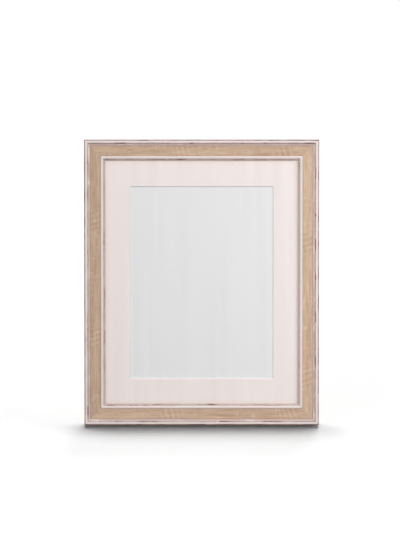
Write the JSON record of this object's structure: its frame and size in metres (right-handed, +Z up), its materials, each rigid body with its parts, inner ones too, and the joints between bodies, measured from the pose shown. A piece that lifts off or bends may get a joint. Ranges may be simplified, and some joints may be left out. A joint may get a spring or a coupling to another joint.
{
  "type": "picture frame",
  "caption": "Upright wooden picture frame with a mitred moulding, window mount and glazing, standing on a hinged folding strut, with wire hanging rings and turn buttons on its back.",
  "frame": {"origin": "centre of the bounding box's base, on the surface that the frame stands on", "axes": "+X to the right seen from the front, +Y to the back, +Z up, with the frame standing and leaning back on its open strut"},
  "size_m": [0.235, 0.0987, 0.2812],
  "materials": {
    "moulding": "limed oak panel between white painted edges, rubbed through to brown",
    "glazing": "clear float glass",
    "mount_board": "pale pink paper face, white core",
    "picture_paper": "blank light grey",
    "backing_board": "smooth brown fibreboard",
    "strut_board": "smooth brown fibreboard",
    "hinge_steel": "zinc plated, pressed",
    "pin_steel": "drawn wire",
    "rivet_steel": "domed, zinc plated",
    "strap_steel": "nickel plated",
    "ring_wire": "bright nickel plated wire",
    "button_steel": "zinc plated, stamped",
    "screw_steel": "zinc plated",
    "nail_steel": "dull steel"
  },
  "bodies": {
    "frame": {"top_rail": "moulding", "bottom_rail": "moulding", "left_stile": "moulding", "right_stile": "moulding", "corner_nails": "nail_steel", "glazing_sheet": "glazing", "window_mount": "mount_board", "picture_sheet": "picture_paper", "backing_board": "backing_board", "hinge_board_leaf": "hinge_steel", "hinge_board_rivets": "rivet_steel", "hinge_pin": "pin_steel", "upright_hanger_strap": "strap_steel", "upright_hanger_rivet": "rivet_steel", "sideways_hanger_strap": "strap_steel", "sideways_hanger_rivet": "rivet_steel", "turn_button_screws": "screw_steel"},
    "strut": {"hinge_strut_leaf": "hinge_steel", "hinge_strut_rivets": "rivet_steel", "strut_leg": "strut_board"},
    "upright_ring": {"upright_hanger_ring": "ring_wire"},
    "sideways_ring": {"sideways_hanger_ring": "ring_wire"},
    "turn_button_upper_left": {"turn_button_upper_left": "button_steel"},
    "turn_button_upper_right": {"turn_button_upper_right": "button_steel"},
    "turn_button_lower_left": {"turn_button_lower_left": "button_steel"},
    "turn_button_lower_right": {"turn_button_lower_right": "button_steel"}
  },
  "joints": [
    {"name": "strut_hinge", "type": "hinge", "parent": "frame", "child": "strut", "pos_m": [0, 0.01045, 0.19438], "axis": [-1, 0, 0], "range_deg": [0, 24]},
    {"name": "upright_ring_swing", "type": "hinge", "parent": "frame", "child": "upright_ring", "pos_m": [0, 0.02102, 0.24305], "axis": [1, 0, 0], "range_deg": [-4, 167]},
    {"name": "sideways_ring_swing", "type": "hinge", "parent": "frame", "child": "sideways_ring", "pos_m": [0.0815, -0.00302, 0.13889], "axis": [0, 0.225, 0.9744], "range_deg": [-90, 80]},
    {"name": "turn_button_upper_left_turn", "type": "hinge", "parent": "frame", "child": "turn_button_upper_left", "pos_m": [-0.11, 0.01276, 0.21417], "axis": [0, 0.9744, -0.225], "continuous": true},
    {"name": "turn_button_upper_right_turn", "type": "hinge", "parent": "frame", "child": "turn_button_upper_right", "pos_m": [0.11, 0.01276, 0.21417], "axis": [0, 0.9744, -0.225], "continuous": true},
    {"name": "turn_button_lower_left_turn", "type": "hinge", "parent": "frame", "child": "turn_button_lower_left", "pos_m": [-0.11, -0.02184, 0.06431], "axis": [0, 0.9744, -0.225], "continuous": true},
    {"name": "turn_button_lower_right_turn", "type": "hinge", "parent": "frame", "child": "turn_button_lower_right", "pos_m": [0.11, -0.02184, 0.06431], "axis": [0, 0.9744, -0.225], "continuous": true}
  ]
}
